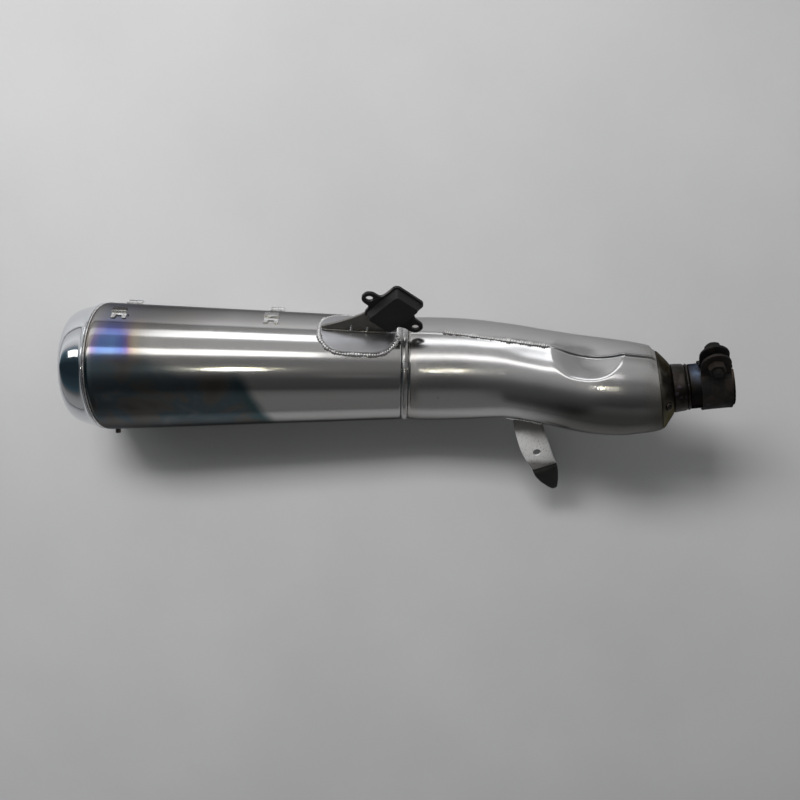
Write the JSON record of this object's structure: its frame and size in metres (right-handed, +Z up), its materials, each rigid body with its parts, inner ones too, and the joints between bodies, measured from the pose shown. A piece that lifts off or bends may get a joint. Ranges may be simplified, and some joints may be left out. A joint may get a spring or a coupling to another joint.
{
  "type": "motorcycle exhaust muffler",
  "caption": "Stainless steel motorcycle exhaust muffler: tapered barrel, curved front chamber, slanted inlet socket with bolt clamp, hanger bracket and rubber stand stop.",
  "frame": {"origin": "centre of the part's bounding box in plan, on the plane it lies on", "axes": "+X from the outlet end to the inlet end, +Y towards the hanger bracket's side, +Z up"},
  "size_m": [0.6232, 0.2094, 0.1589],
  "materials": {
    "polished_steel": "polished stainless steel, lightly used",
    "barrel_steel": "polished stainless steel with violet, blue and straw heat tint",
    "chrome_trim": "bright polished trim",
    "weld_steel": "weld bead, heat coloured",
    "inlet_steel": "heat-browned steel",
    "clamp_steel": "dark, rusted steel",
    "black_paint": "satin black paint, scuffed edges",
    "stop_plate": "dull steel plate",
    "stop_rubber": "black moulded rubber",
    "inner_steel": "sooted inner steel",
    "gasket_graphite": "compressed graphite, matt"
  },
  "bodies": {
    "muffler": {"rear_shell": "barrel_steel", "rear_cap_seam_bead": "weld_steel", "rear_cap": "chrome_trim", "mid_joint_band": "weld_steel", "front_shell_inboard": "polished_steel", "front_shell_outboard": "polished_steel", "front_seam_weld_top": "weld_steel", "front_seam_weld_under": "weld_steel", "front_end_cone": "polished_steel", "inlet_collar": "inlet_steel", "inlet_weld_bead": "weld_steel", "inlet_pipe": "inlet_steel", "inlet_core_pipe": "inner_steel", "front_baffle": "inner_steel", "front_drain_collar": "weld_steel", "hanger_pad": "polished_steel", "hanger_pad_weld": "weld_steel", "hanger_stay": "stop_plate", "hanger_stay_weld": "weld_steel", "hanger_bracket": "black_paint", "stand_stop_plate": "stop_plate", "stand_stop_weld": "weld_steel", "stand_stop_rubber": "stop_rubber", "heat_shield_clip_mid_near": "polished_steel", "heat_shield_clip_mid_far": "polished_steel", "heat_shield_clip_rear_near": "polished_steel", "heat_shield_clip_rear_far": "polished_steel", "rear_drain_nipple": "weld_steel", "chamber_plate_front": "inner_steel", "chamber_plate_mid": "inner_steel", "chamber_plate_rear": "inner_steel", "transfer_pipe_front": "inner_steel", "transfer_pipe_rear": "inner_steel", "tail_pipe": "inner_steel", "outlet_plate": "inner_steel"},
    "clamp": {"clamp_band": "clamp_steel", "clamp_nut": "clamp_steel"},
    "clamp_washer": {"clamp_washer": "clamp_steel"},
    "clamp_bolt": {"clamp_bolt": "clamp_steel"},
    "gasket": {"inlet_gasket": "gasket_graphite"}
  },
  "joints": [
    {"name": "clamp_turn", "type": "hinge", "parent": "muffler", "child": "clamp", "pos_m": [0.29146, 0.01968, 0.12185], "axis": [0.9582, 0.1597, 0.2372], "continuous": true},
    {"name": "bolt_travel", "type": "slide", "parent": "clamp", "child": "clamp_washer", "axis": [0.0748, 0.6605, -0.7471], "range_m": [0, 0.0121]},
    {"name": "bolt_spin", "type": "hinge", "parent": "clamp_washer", "child": "clamp_bolt", "pos_m": [0.2823, 0.04404, 0.14246], "axis": [0.0748, 0.6605, -0.7471], "range_deg": [0, 3456]},
    {"name": "gasket_slide", "type": "slide", "parent": "muffler", "child": "gasket", "axis": [0.9582, 0.1597, 0.2372], "range_m": [0, 0.04]}
  ],
  "couplings": [
    {"joint": "bolt_travel", "follows": "bolt_spin", "m_per_rad": 0.00019894}
  ]
}
